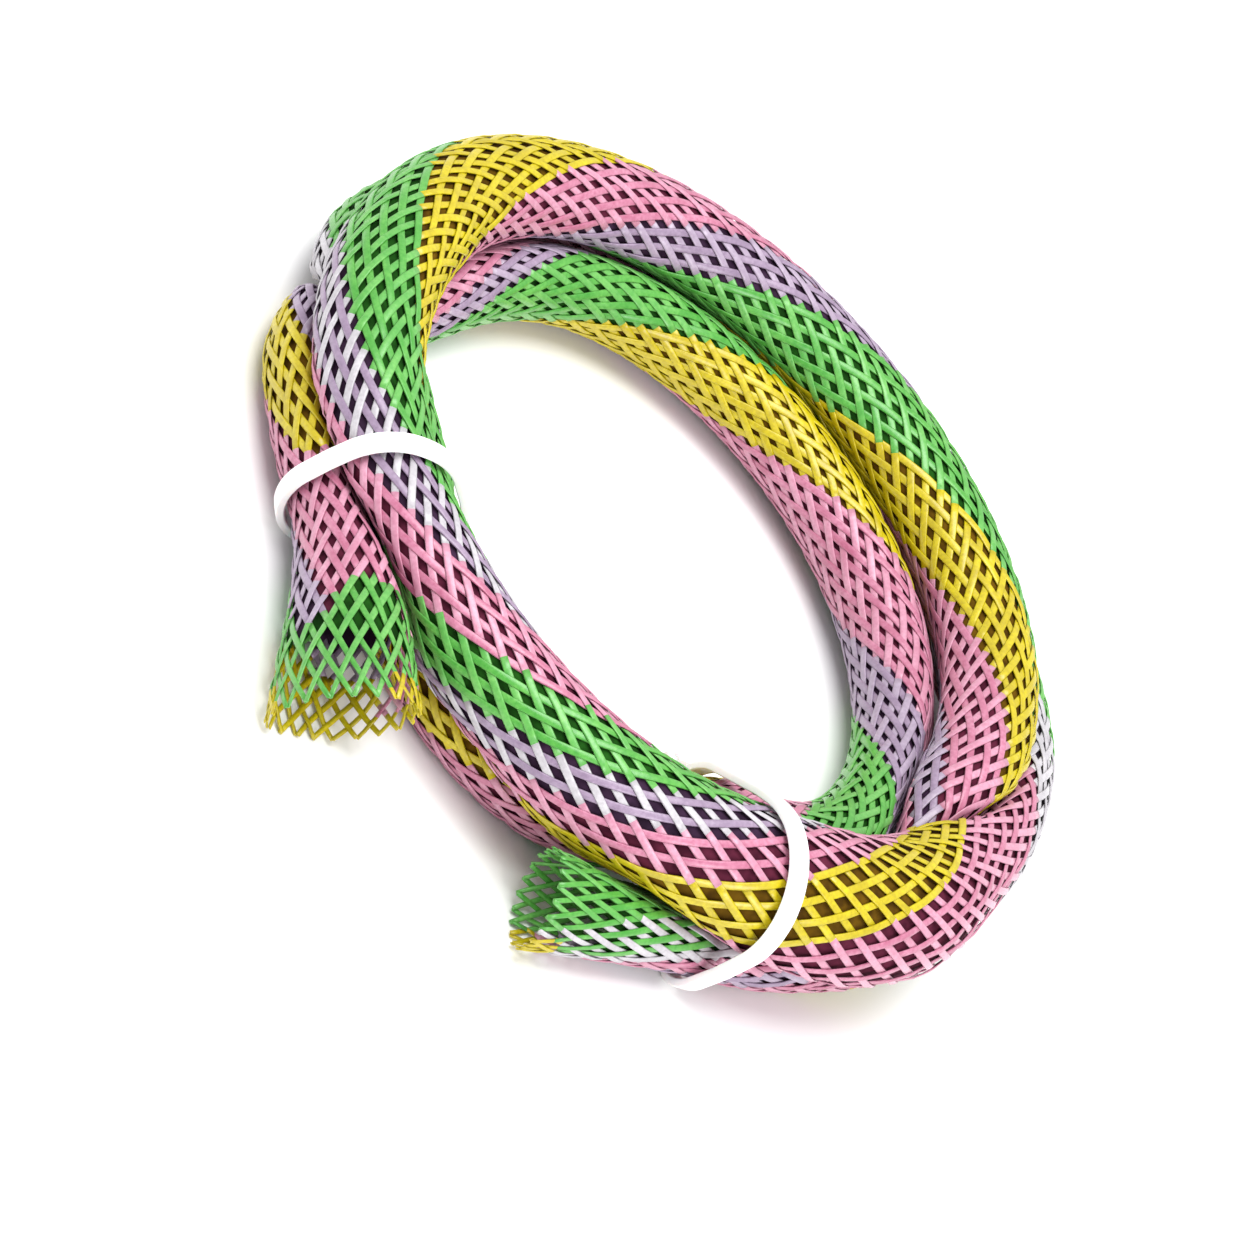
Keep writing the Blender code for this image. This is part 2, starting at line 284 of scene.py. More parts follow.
def skin(at, turn, inset):
    """Points on the skin at runs along the sleeve and turns round it, inset below it."""
    place = np.interp(at, run, np.arange(len(run)))
    i = np.clip(place.astype(int), 0, len(run) - 2)
    f = (place - i)[:, None]
    spoke = (turn % 1.0) * SECTION_SIDES
    k = spoke.astype(int) % SECTION_SIDES
    g = spoke - np.floor(spoke)
    after = (k + 1) % SECTION_SIDES
    here = outlines[i, k] * (1 - g) + outlines[i, after] * g
    there = outlines[i + 1, k] * (1 - g) + outlines[i + 1, after] * g
    out = here * (1 - f[:, 0]) + there * f[:, 0] - inset
    middle = centre[i] * (1 - f) + centre[i + 1] * f
    sideways = side[i] * (1 - f) + side[i + 1] * f
    leaning = lean[i] * (1 - f) + lean[i + 1] * f
    low = level[i] * (1 - f[:, 0]) + level[i + 1] * f[:, 0] + inset - middle[:, 2]
    angle = turn * 2 * math.pi
    height = np.maximum(np.sin(angle) * out, low)
    points = middle + sideways * (np.cos(angle) * out)[:, None] + leaning * height[:, None]
    points[:, 2] += height
    return points + shift


# The model's box is centred on the origin, so the coil is shifted the same way.
shift = np.zeros(3)
rounds = np.tile(np.arange(SECTION_SIDES) / SECTION_SIDES, len(run))
surface = skin(np.repeat(run, SECTION_SIDES), rounds, 0.0)
box_middle = (surface.min(axis=0) + surface.max(axis=0)) / 2
shift[:2] = np.array((sleeve_low + sleeve_high) / 2)[:2] - box_middle[:2]
surface = surface + shift
skin_box = np.array((surface.min(axis=0), surface.max(axis=0)))
print("skin box in mm:", np.round(skin_box * 1000, 1).tolist())

# %% [markdown]
# ## How the strands wind
# In a braid twenty strands wind one way and twenty the other, and each goes over two
# and under two. Laid out flat, that is a grid: the leading strands meet the crossing
# ones at every row. When the tube is twisted by hand while it is coiled, both
# families turn together, so one table of twist moves them both, and the colour
# stripes with them. TWIST gives the pitch of the leading strands up to each run, both
# in millimetres. The real twist changes slowly, so the steps of the table are
# smoothed.

# %% Rows, pitch and twist
STRANDS = 20
TWIST = (
    (80, 100), (150, 122), (180, 100), (215, 70), (241, 60), (292, 75), (369, 140),
    (549, 108), (573, 157), (590, 128), (605, 110), (640, 102), (655, 113), (670, 126),
    (690, 146), (725, 163), (745, 148), (765, 137), (880, 133), (1000, 107),
)
ROWS = 356
FINE_STEP = 0.0005
SMOOTHED = 25
row_step = sleeve_length / ROWS
pitch = 2 * STRANDS * row_step

fine_run = np.arange(0.0, sleeve_length, FINE_STEP)
ends, pitches = np.array(TWIST).T
turns_per_metre = 1000.0 / pitches[np.searchsorted(ends, fine_run * 1000, side="right")]
padded = np.pad(turns_per_metre, SMOOTHED // 2, mode="edge")
smooth = np.convolve(padded, np.ones(SMOOTHED) / SMOOTHED, mode="valid")
turned = np.concatenate(([0.0], np.cumsum(smooth[:-1] * FINE_STEP)))


def twist(at):
    """Turns that the leading strands have made by each run along the sleeve."""
    return np.interp(at, fine_run, turned)


print("rows:", ROWS, "row step in mm:", round(row_step * 1000, 3))
print("pitch in mm:", round(pitch * 1000, 1), "turns of twist:", round(turned[-1], 2))

# %% [markdown]
# ## The colour stripes
# Each stripe is a few neighbouring strands wide and winds with the leading family. If
# the tube is unrolled, a stripe keeps the same unrolled position for all its length.
# STRIPES lists them in order: each colour and the position where it ends, in strands.
# Lilac and mint are mixed stripes: their leading strands are dyed, their crossing
# ones are white. The stripes are counted from a seam under the tube.
#
# At the cut ends the dyes don't keep to the stripes. The first end has a green
# patch: END_GREEN gives its edge as turns round the tube and run along it. The
# strands underneath the patch and parts of both tips are yellow, and up to PINK_TAIL
# a yellow stripe is pink.

# %% Stripes by their unrolled position
STRIPES = (
    ("green", 2.1), ("lavender", 4.4), ("pink", 8.6), ("yellow", 13.6), ("lavender", 18.6),
    ("pink", 24.4), ("lavender", 26.6), ("green", 32.6), ("yellow", 38.6), ("pink", 46.4),
    ("lavender", 51.6), ("green", 59.6), ("pink", 65.4), ("yellow", 70.4), ("white", 76.6),
    ("green", 82.6), ("yellow", 88.6), ("pink", 94.6), ("lavender", 100.6), ("green", 106.6),
    ("white", 110.4), ("pink", 116.9), ("yellow", 120.2), ("pink", 122.4), ("lilac", 124.5),
    ("green", 127.9), ("pink", 131.4), ("lilac", 134.6), ("green", 139.2), ("yellow", 145.1),
    ("pink", 149.3), ("lavender", 152.5), ("green", 157.8), ("yellow", 162.5),
    ("pink", 166.5), ("lavender", 168.3), ("pink", 170.3), ("white", 171.2), ("mint", 175.0),
    ("green", 999.0),
)
COLOURS = ("green", "yellow", "pink", "lavender", "white")
MIXED = {"lilac": ("lavender", "white"), "mint": ("green", "white")}
stripe_ends = np.array([end for _, end in STRIPES])
stripe_colours = np.array(
    [[COLOURS.index(dye) for dye in MIXED.get(name, (name, name))] for name, _ in STRIPES]
)
END_GREEN = (
    (-0.09, 0.0150), (0.00, 0.0105), (0.05, 0.0105), (0.17, 0.0190), (0.30, 0.0165),
    (0.36, 0.0120),
)
GREEN_STOPS = 0.40
UNDERNEATH = (-0.12, 0.56)
END_YELLOW = 0.0045
YELLOW_TIP = (-0.04, 0.24)
PINK_TAIL = 0.0400
GREEN, YELLOW, PINK = [COLOURS.index(name) for name in ("green", "yellow", "pink")]
SEAM = -0.25


def from_seam(turn):
    """The same turns round the tube, counted from the seam: from -0.25 to 0.75."""
    return (turn - SEAM) % 1.0 + SEAM


def beyond(value, limits):
    """Whether each value lies outside the two limits."""
    return (value < limits[0]) | (value > limits[1])


def colour_at(at, turn, leading=True):
    """The number of a family's colour at runs along the sleeve and turns round it."""
    seam = from_seam(turn)
    stripe = np.searchsorted(stripe_ends, STRANDS * (seam + twist(at)))
    found = stripe_colours[stripe, 0 if leading else 1]
    found = np.where((at < PINK_TAIL) & (found == YELLOW), PINK, found)
    patch = at < np.interp(seam, *zip(*END_GREEN))
    found = np.where(patch & (seam < GREEN_STOPS), GREEN, found)
    found = np.where(patch & beyond(seam, UNDERNEATH), YELLOW, found)
    found = np.where((at < END_YELLOW) & beyond(seam, YELLOW_TIP), YELLOW, found)
    to_other_end = sleeve_length - at
    return np.where((to_other_end < END_YELLOW) & (seam < 0.0), YELLOW, found)


tally = colour_at(np.repeat(run, SECTION_SIDES), rounds)
print({name: int((tally == i).sum()) for i, name in enumerate(COLOURS)})

# %% [markdown]
# ## One strand
# The real strand is four fine round filaments lying side by side, so its section is
# a flat ribbon with four soft ridges. At each crossing it lies a little further out
# when it goes over and a little further in when it goes under. Towards a cut end the
# four filaments close up, so the strand gets narrower. PROFILE is the section, in
# millimetres across and out. The code follows all strands of a family at once: first
# their places, then the direction out of the skin, from small steps along the sleeve
# and round it, and then the rings of the section.

# %% Paths of a family of strands
STRAND_INSET = 0.00040
STRAND_WAVE = 0.00016
END_WIDTH = 0.62
END_REACH = 0.018
STEP_ALONG = 0.0004
STEP_ROUND = 0.01
HALVES = 2 * ROWS + 1
PROFILE = np.array(
    [(-0.52, -0.05), (-0.40, 0.09), (-0.27, 0.07), (-0.135, 0.145), (0.0, 0.10),
     (0.135, 0.145), (0.27, 0.07), (0.40, 0.09), (0.52, -0.05), (0.0, -0.125)]
) / 1000


def unit(vectors):
    """The same directions, each of length one."""
    return vectors / np.linalg.norm(vectors, axis=-1, keepdims=True)


def family(leading):
    """Runs, turns and rings of section points for the strands of one family."""
    strand = np.arange(STRANDS)[:, None]
    half = np.arange(HALVES)[None, :]
    at = np.broadcast_to(half * row_step / 2, (STRANDS, HALVES))
    turn = strand / STRANDS - twist(at)
    if not leading:
        turn = strand / STRANDS + 2 * at / pitch - twist(at)
    row = half // 2
    weave = (2 * strand + (-row if leading else row)) % 4 < 2
    over = np.where(weave == leading, 1.0, -1.0)
    over[:, 1:-1:2] = (over[:, :-2:2] + over[:, 2::2]) / 2
    inset = STRAND_INSET - STRAND_WAVE * over

    def beside(step_along, step_round):
        """The skin at a small step along the sleeve and round it from each place."""
        return skin(at.ravel() + step_along, turn.ravel() + step_round, inset.ravel())

    place = beside(0.0, 0.0).reshape(STRANDS, HALVES, 3)
    lengthways = beside(STEP_ALONG, 0.0) - beside(-STEP_ALONG, 0.0)
    crossways = beside(0.0, STEP_ROUND) - beside(0.0, -STEP_ROUND)
    out = unit(np.cross(crossways, lengthways)).reshape(place.shape)
    along = unit(np.gradient(place, axis=1))
    across = unit(np.cross(along, out))
    out = np.cross(across, along)
    to_end = np.clip(np.minimum(at, sleeve_length - at) / END_REACH, 0.0, 1.0)
    width = (END_WIDTH + (1 - END_WIDTH) * to_end)[:, :, None, None]
    ring = place[:, :, None] + across[:, :, None] * PROFILE[None, None, :, :1] * width
    ring = ring + out[:, :, None] * PROFILE[None, None, :, 1:]
    return at, turn, ring


check_place = skin(np.array([0.4]), np.array([0.25]), np.array([0.0]))
print("top of the skin at 0.4 m, in mm:", np.round(check_place * 1000, 1))

# %% [markdown]
# ## Meshes from rings
# A strand changes colour where it passes from one stripe to the next, so the strands
# are cut there and gathered by colour: one mesh for each colour and family. Each
# stretch is a closed solid with a cap at both ends, as a real offcut would be.

# %% Build one mesh for each colour
def new_piece(name, points, faces):
    """A mesh object from points and faces, riding the one body of the model."""
    mesh = bpy.data.meshes.new(name)
    mesh.from_pydata(np.asarray(points).tolist(), [], faces)
    mesh.update()
    mesh.shade_smooth()
    piece = bpy.data.objects.new(name, mesh)
    bpy.context.scene.collection.objects.link(piece)
    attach(piece, "root")
    return piece


def strand_mesh(rings, chosen):
    """Points and faces of the chosen segments, capped where a stretch begins or ends."""
    sides = rings.shape[2]
    before = np.pad(chosen, ((0, 0), (1, 0)))[:, :-1]
    after = np.pad(chosen, ((0, 0), (0, 1)))[:, 1:]
    used = np.pad(chosen, ((0, 0), (0, 1))) | np.pad(chosen, ((0, 0), (1, 0)))
    number = np.cumsum(used.ravel()).reshape(used.shape) - 1
    points = rings[used].reshape(-1, 3)
    k = np.arange(sides)
    start = (number[:, :-1][chosen] * sides)[:, None]
    stop = (number[:, 1:][chosen] * sides)[:, None]
    following = (k + 1) % sides
    corners = (start + k, start + following, stop + following, stop + k)
    faces = np.stack(corners, axis=-1).reshape(-1, 4).tolist()
    first_caps = number[:, :-1][chosen & ~before] * sides
    last_caps = number[:, 1:][chosen & ~after] * sides
    faces += (first_caps[:, None] + k[::-1]).tolist()
    faces += (last_caps[:, None] + k).tolist()
    return points, faces


strands = {}
for leading, family_name in ((True, "leading"), (False, "crossing")):
    at, turn, rings = family(leading)
    halfway = (at[:, 1:] + at[:, :-1]) / 2, (turn[:, 1:] + turn[:, :-1]) / 2
    colours = colour_at(*halfway, leading)
    for i, colour in enumerate(COLOURS):
        name = f"{colour}_{family_name}_strands"
        strands[name] = new_piece(name, *strand_mesh(rings, colours == i))
        print(name, "faces:", len(strands[name].data.polygons))

# %% [markdown]
# ## The unlit inside of the mesh
# Through the openings the eye sees the far side of the braid, which lies in the shade
# of the near side and looks nearly black with a hint of its dye. Light bounces so
# many times in there that painted shade shows it better: a thin dark sheet, one small
# diamond behind each opening, stands in for that shade. The diamonds are joined to
# one sheet and given a thickness. Near a cut end, where the sleeve stands open, the
# painted shade sheet stops, sooner on the wall that lies away from the eye.

# %% The painted shade sheet behind the openings
SHADE_SHEET_INSET = 0.00078
SHADE_SHEET_THICKNESS = 0.00010
SHADE_SHEET_STOPS = 0.0090
FAR_WALL_STOPS = 0.0170
NEAR_WALL = (-0.12, 0.36)
WELD_REACH = 1e-6

row = np.arange(ROWS - 1)[:, None]
strand = np.arange(STRANDS)[None, :]


def crossing(rows_on, leading_on):
    """Run and turn of the crossing that many rows and leading strands further on."""
    at = np.broadcast_to((row + rows_on) * row_step, (ROWS - 1, STRANDS))
    return at, (strand + leading_on) / STRANDS - twist(at)


corners = [crossing(0, 0), crossing(1, 1), crossing(2, 1), crossing(1, 0)]
middle_at = corners[0][0] + row_step
middle_turn = (strand + 0.5) / STRANDS - twist(middle_at)
seam = from_seam(middle_turn)
to_end = np.minimum(middle_at, sleeve_length - middle_at)
near_wall = (seam > NEAR_WALL[0]) & (seam < NEAR_WALL[1])
shade_sheet_kept = to_end > np.where(near_wall, SHADE_SHEET_STOPS, FAR_WALL_STOPS)
# The diamonds are a dark sheet of painted shade, tinted by the stripe in front of them.
quads = [skin(at[shade_sheet_kept], turn[shade_sheet_kept], SHADE_SHEET_INSET) for at, turn in corners]
points = np.stack(quads, axis=1).reshape(-1, 3)
shade = new_piece("strand_shade", points, np.arange(len(points)).reshape(-1, 4).tolist())
tint = colour_at(middle_at, middle_turn)[shade_sheet_kept]
shade.data.polygons.foreach_set("material_index", tint.astype(np.int32))
sheet = bmesh.new()
sheet.from_mesh(shade.data)
bmesh.ops.remove_doubles(sheet, verts=sheet.verts[:], dist=WELD_REACH)
bmesh.ops.solidify(sheet, geom=sheet.faces[:], thickness=SHADE_SHEET_THICKNESS)
sheet.to_mesh(shade.data)
sheet.free()
print("diamonds:", int(shade_sheet_kept.sum()), "faces with their thickness:", len(shade.data.polygons))

# %% [markdown]
# ## The cable ties
# A small cable tie is injection moulded from natural nylon: a smooth strap about a
# millimetre thick, with rounded edges, and a square head that the strap is pulled
# through. The strap lies taut, so it runs straight from one high point of the bundle
# to the next. The points where its edges and its middle cross the skin give the
# bundle's outline, and the support lines of that outline give the taut loop. STRAP is
# the strap's section, in half widths across and in thicknesses out of the loop.

# %% The taut loop round the bundle
TIE_SIDES = 72
skin_rings = surface.reshape(len(run), SECTION_SIDES, 3) - shift


def tied_points(outward, along, offset):
    """Where the skin crosses the strap's two edges and its middle, in the tie's plane."""
    beside = skin_rings @ along - offset
    found = []
    for edge in (-TIE_WIDTH / 2, 0.0, TIE_WIDTH / 2):
        a, b = beside[:-1] - edge, beside[1:] - edge
        hit = (a * b <= 0) & (a != b) & (skin_rings[:-1] @ outward > 0)
        f = (a[hit] / (a[hit] - b[hit]))[:, None]
        found.append(skin_rings[:-1][hit] * (1 - f) + skin_rings[1:][hit] * f)
    found = np.concatenate(found)
    return np.column_stack((found @ outward, found[:, 2]))


def taut_loop(points, gap):
    """The taut band round the points, that far outside them, from its support lines."""
    step = 2 * math.pi / TIE_SIDES
    way = np.arange(TIE_SIDES) * step
    c, s = np.cos(way), np.sin(way)
    reach = (points @ np.vstack((c, s))).max(axis=0) + gap
    c0, s0, before = np.roll(c, 1), np.roll(s, 1), np.roll(reach, 1)
    x = (before * s - reach * s0) / math.sin(step)
    y = (reach * c0 - before * c) / math.sin(step)
    return np.column_stack((x, y))


print("sides of a taut loop:", TIE_SIDES)

# %% The strap's section and the faces between its rings
STRAP = np.array(
    [(-1.0, 0.12), (-0.9, 0.0), (0.9, 0.0), (1.0, 0.12), (1.0, 0.72), (0.93, 0.9),
     (0.8, 0.97), (0.3, 1.0), (-0.3, 1.0), (-0.8, 0.97), (-0.93, 0.9), (-1.0, 0.72)]
)


def bridged(rings, sides, closed):
    """Faces between each ring of points and the next; open rows of rings get caps."""
    faces = []
    for r in range(rings if closed else rings - 1):
        here, there = r * sides, (r + 1) % rings * sides
        for k in range(sides):
            after = (k + 1) % sides
            faces.append((here + k, here + after, there + after, there + k))
    if not closed:
        faces.append(tuple(range(sides))[::-1])
        faces.append(tuple(range((rings - 1) * sides, rings * sides)))
    return faces


def swept_strap(inside, outside, half_width):
    """Rings of the strap's section between two rows of points, in (out, side, up)."""
    rings = []
    for low, high in zip(inside, outside):
        for width, depth in STRAP:
            x, z = low * (1 - depth) + high * depth
            rings.append((x, width * half_width, z))
    return rings


print("points round the strap:", len(STRAP))

# %% [markdown]
# The head is a small block with a slot from end to end. Both are made as one chain of
# rings, up the outside and down the slot, so the head is one closed solid without a
# Boolean. The slot's rim is flared a little, as it is on the moulded head.

# %% The head with its slot
HEAD_LENGTH, HEAD_WIDTH, HEAD_HEIGHT = 0.0046, 0.0044, 0.0030
HEAD_BEVEL = 0.0005
HEAD_RINGS, HEAD_SIDES = 8, 8
SLOT_NEAR, SLOT_FAR, SLOT_HALF_WIDTH = 0.0009, 0.0023, 0.00145
SLOT_RIM, SLOT_FLARE, SLOT_CORNER = 0.0003, 0.0002, 0.9


def slotted_head(low, high):
    """Rings of a block with rounded edges, and of the slot through it."""
    x0, x1, y1, z0, z1 = low[0], high[0], high[1], low[2], high[2]
    c = HEAD_BEVEL
    points = []
    for z, cut in ((z0, c), (z0 + c, 0.0), (z1 - c, 0.0), (z1, c)):
        a, b, w = x0 + cut, x1 - cut, y1 - cut
        points += [(a, -w + c, z), (a + c, -w, z), (b - c, -w, z), (b, -w + c, z)]
        points += [(b, w - c, z), (b - c, w, z), (a + c, w, z), (a, w - c, z)]
    rims = (z1, SLOT_FLARE), (z1 - SLOT_RIM, 0.0), (z0 + SLOT_RIM, 0.0), (z0, SLOT_FLARE)
    for z, flare in rims:
        a, b, w = x1 - SLOT_FAR - flare, x1 - SLOT_NEAR + flare, SLOT_HALF_WIDTH + flare
        n = w * SLOT_CORNER
        points += [(a, -n, z), (a, -w, z), (b, -w, z), (b, -n, z)]
        points += [(b, n, z), (b, w, z), (a, w, z), (a, n, z)]
    return points


print("head in mm:", HEAD_LENGTH * 1000, HEAD_WIDTH * 1000, HEAD_HEIGHT * 1000)

# %% [markdown]
# The tail leaves the loop just below the head, runs through the slot and is snipped
# off flush. TAIL gives its height past the middle of the head and how far it stands
# off the strap, in millimetres. HEAD_DROP lowers the right tie's head along its
# strap, so that it stays hidden behind the upper turn.

# %% One tie from its strap, head and tail
HEAD_DROP = {"cable_tie_left": 0.0, "cable_tie_right": 0.0020}
HEAD_SEAT = 0.5
TAIL = np.array(
    [(-5.8, -0.2), (-5.0, 0.1), (-4.0, 0.6), (-2.6, 1.4), (0.0, 1.5), (2.0, 1.5), (2.5, 1.5)]
)
TAIL_WIDTH = 0.0024
TAIL_SHARE = 0.42
TAIL_FOLLOWS = -0.0030
SHARP_FROM = math.radians(40)


def tie_pieces(name, angle, skew):
    """The strap, the tail and the head of one tie, as separate closed meshes."""
    outward, along, offset = tie_plane(angle, skew)
    points = tied_points(outward, along, offset)
    inside = taut_loop(points, TIE_CLEARANCE)
    outside = taut_loop(points, TIE_CLEARANCE + TIE_THICKNESS)
    rings = swept_strap(inside, outside, TIE_WIDTH / 2)
    parts = {"strap": (rings, bridged(TIE_SIDES, len(STRAP), True))}

    seat_x, seat_z = outside[np.argmin(outside[:, 0])]
    seat_z -= HEAD_DROP[name]
    x0, x1 = seat_x - HEAD_HEIGHT, seat_x + TIE_THICKNESS * HEAD_SEAT
    low = (x0, -HEAD_WIDTH / 2, seat_z - HEAD_LENGTH / 2)
    high = (x1, HEAD_WIDTH / 2, seat_z + HEAD_LENGTH / 2)
    turned_head = [(x0 + x1 - x, y, z) for x, y, z in slotted_head(low, high)]
    parts["head"] = (turned_head, bridged(HEAD_RINGS, HEAD_SIDES, True))

    inner = outside[outside[:, 0] < outside[:, 0].mean()]
    inner = inner[np.argsort(inner[:, 1])]
    rise, off = TAIL.T / 1000
    on_strap = np.interp(seat_z + rise, inner[:, 1], inner[:, 0])
    base = np.where(rise < TAIL_FOLLOWS, on_strap, seat_x)
    way = np.column_stack((base - off, seat_z + rise))
    heading = unit(np.gradient(way, axis=0))
    across = np.column_stack((heading[:, 1], -heading[:, 0])) * TIE_THICKNESS
    across = across * TAIL_SHARE
    rings = swept_strap(way + across, way - across, TAIL_WIDTH / 2)
    parts["tail"] = (rings, bridged(len(way), len(STRAP), False))

    made = []
    for part, (local, faces) in parts.items():
        local = np.array(local)
        world = np.outer(local[:, 0], outward) + np.outer(local[:, 1], along)
        world += along * offset + shift
        world[:, 2] = local[:, 2]
        piece = new_piece(f"{name}_{part}", world, faces)
        shape = bmesh.new()
        shape.from_mesh(piece.data)
        bmesh.ops.recalc_face_normals(shape, faces=shape.faces[:])
        shape.to_mesh(piece.data)
        shape.free()
        piece.data.set_sharp_from_angle(angle=SHARP_FROM)
        made.append(piece)
    return made


print("tail in mm, width and thickness:", TAIL_WIDTH * 1000, 2000 * TIE_THICKNESS * TAIL_SHARE)

# %% Both ties
ties = []
for tie_name, angle, skew in TIES:
    pieces = tie_pieces(tie_name, angle, skew)
    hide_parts(tie_name)
    ties += pieces
    print(tie_name, "pieces:", [piece.name for piece in pieces])

# %% [markdown]
# ## Materials
# The strands are polyester monofilament: melt spun, drawn to length and dyed in the
# melt. Drawing leaves them smooth and a little glassy, so each ridge carries a thin
# bright line, and the dye is never quite even. The colours are read off as the eye
# sees them, in sRGB, and one function turns them into the linear light that Blender
# wants. Another adds a node: it takes a socket by its name, or as _6 by its number
# where names repeat, as on the Mix node, whose colours go in at 6 and 7.

# %% Colour and node helpers
def linear(code):
    """Linear RGBA from an sRGB hex code such as 8fc04a."""
    channels = [int(code[i : i + 2], 16) / 255 for i in (0, 2, 4)]
    bent = [c / 12.92 if c <= 0.04045 else ((c + 0.055) / 1.055) ** 2.4 for c in channels]
    return (*bent, 1.0)


def new_material(name):
    """A material with its node tree and its shader."""
    material = bpy.data.materials.new(name)
    material.use_nodes = True
    return material, material.node_tree, material.node_tree.nodes["Principled BSDF"]


def add_node(tree, kind, settings=None, **links):
    """A node with its settings; numbers fill input sockets, sockets are linked to them."""
    node = tree.nodes.new(kind)
    for key, value in (settings or {}).items():
        setattr(node, key, value)
    for key, value in links.items():
        socket = node.inputs[int(key[1:])] if key[1:].isdigit() else node.inputs[key]
        if isinstance(value, bpy.types.NodeSocket):
            tree.links.new(value, socket)
        else:
            socket.default_value = value
    return node


def noise_scale(millimetres):
    """The scale of a noise whose patches are about that wide on the object."""
    return 1000.0 / millimetres


print("linear green:", [round(channel, 3) for channel in linear("58a340")])

# %% [markdown]
# The dye varies in patches nearly 4 mm long, and finer streaks run through them. Both
# come from noise in the object's own space. The streaks on the real filament are some
# hundredths of a millimetre wide: here they are drawn half a millimetre wide, so that
# they show and don't flicker. Each dye has a dark and a light tone, and a pale one
# for a painted sheen: the colour turns towards it where a filament faces away from the
# eye. The crossing strands of green, pink and lavender are a little paler than the
# leading ones.

# %% Strand materials
DYE_PATCH = 3.85
DYE_STREAK = 0.526
DYES = {
    "green": ("2f8722", "58a340", "97d082"),
    "yellow": ("a29004", "c3b200", "f0e030"),
    "pink": ("a25370", "be7b95", "e9b2c3"),
    "lavender": ("7b6780", "98849c", "c9b6cc"),
    "white": ("a29ea3", "bfbbc0", "e0dde2"),
}
PALER = {"green": 0.09, "yellow": 0.0, "pink": 0.16, "lavender": 0.16, "white": 0.0}


def strand_material(name, dark, light, pale):
    """Drawn polyester monofilament, dyed in the melt, with a painted sheen where it turns from
    the eye.
    """
    material, tree, shader = new_material(name)
    place = add_node(tree, "ShaderNodeTexCoord").outputs["Object"]
    patches = add_node(
        tree, "ShaderNodeTexNoise", Vector=place, Scale=noise_scale(DYE_PATCH), Detail=3.0
    )
    streaks = add_node(
        tree, "ShaderNodeTexNoise", Vector=place, Scale=noise_scale(DYE_STREAK), Detail=2.0
    )
    both = add_node(
        tree, "ShaderNodeMath", {"operation": "MULTIPLY"},
        _0=patches.outputs["Fac"], _1=streaks.outputs["Fac"],
    )
    ramp = add_node(
        tree, "ShaderNodeMapRange",
        Value=both.outputs[0], **{"From Min": 0.12, "From Max": 0.42},
    )
    dye = add_node(
        tree, "ShaderNodeMix", {"data_type": "RGBA"},
        Factor=ramp.outputs[0], _6=linear(dark), _7=linear(light),
    )
    # The base colour turns towards the pale tone where the strand faces away from the eye: a
    # painted sheen.
    edge = add_node(tree, "ShaderNodeLayerWeight", Blend=0.25)
    painted_sheen = add_node(
        tree, "ShaderNodeMath", {"operation": "MULTIPLY"}, _0=edge.outputs["Facing"], _1=0.35
    )
    surface_colour = add_node(
        tree, "ShaderNodeMix", {"data_type": "RGBA"},
        Factor=painted_sheen.outputs[0], _6=dye.outputs[2], _7=linear(pale),
    )
    tree.links.new(surface_colour.outputs[2], shader.inputs["Base Color"])
    gloss = add_node(
        tree, "ShaderNodeMapRange",
        Value=patches.outputs["Fac"], **{"To Min": 0.26, "To Max": 0.42},
    )
    tree.links.new(gloss.outputs[0], shader.inputs["Roughness"])
    shader.inputs["IOR"].default_value = 1.57
    bump = add_node(
        tree, "ShaderNodeBump", Height=streaks.outputs["Fac"], Strength=0.15, Distance=0.00003
    )
    tree.links.new(bump.outputs["Normal"], shader.inputs["Normal"])
    return material


def paler(code, share):
    """The hex colour moved towards white by that share."""
    channels = [int(code[i : i + 2], 16) for i in (0, 2, 4)]
    return "".join(f"{round(c + (255 - c) * share):02x}" for c in channels)


for colour, dyes in DYES.items():
    plain = strand_material(f"{colour}_polyester", *dyes)
    pale_dyes = [paler(code, PALER[colour]) for code in dyes]
    pale = strand_material(f"{colour}_polyester_pale", *pale_dyes)
    strands[f"{colour}_leading_strands"].data.materials.append(plain)
    strands[f"{colour}_crossing_strands"].data.materials.append(pale)
print("strand materials:", 2 * len(DYES))

# %% [markdown]
# The painted shade in the openings is the same dye seen by light that has bounced off
# it many times, so it is dark and strongly coloured. A slow noise makes some openings
# deeper in shade than others, as the turns behind them do.

# %% Shade materials
SHADE_PATCH = 2.38
SHADES = {
    "green": ("0b2c05", "1c5012"),
    "yellow": ("3f2a03", "664a08"),
    "pink": ("3a0f20", "5c2236"),
    "lavender": ("241526", "3c273e"),
    "white": ("1a141d", "2e2630"),
}


def shade_material(name, deep, lighter):
    """Painted shade: the far side of the dyed braid, as the little light that gets there shows
    it.
    """
    material, tree, shader = new_material(name)
    place = add_node(tree, "ShaderNodeTexCoord").outputs["Object"]
    slow = add_node(
        tree, "ShaderNodeTexNoise", Vector=place, Scale=noise_scale(SHADE_PATCH), Detail=2.0
    )
    ramp = add_node(
        tree, "ShaderNodeMapRange",
        Value=slow.outputs["Fac"], **{"From Min": 0.35, "From Max": 0.70},
    )
    mixed = add_node(
        tree, "ShaderNodeMix", {"data_type": "RGBA"},
        Factor=ramp.outputs[0], _6=linear(deep), _7=linear(lighter),
    )
    tree.links.new(mixed.outputs[2], shader.inputs["Base Color"])
    shader.inputs["Roughness"].default_value = 0.9
    shader.inputs["Specular IOR Level"].default_value = 0.1
    return material


for colour in COLOURS:
    shade.data.materials.append(shade_material(f"{colour}_unlit", *SHADES[colour]))
print("shade materials:", len(SHADES))

# %% [markdown]
# Natural nylon is milky white, with a moulded skin that is nearly glossy and slightly
# uneven where it shrank. A weak bump, in waves of 5 to 6 mm, breaks up its highlights.

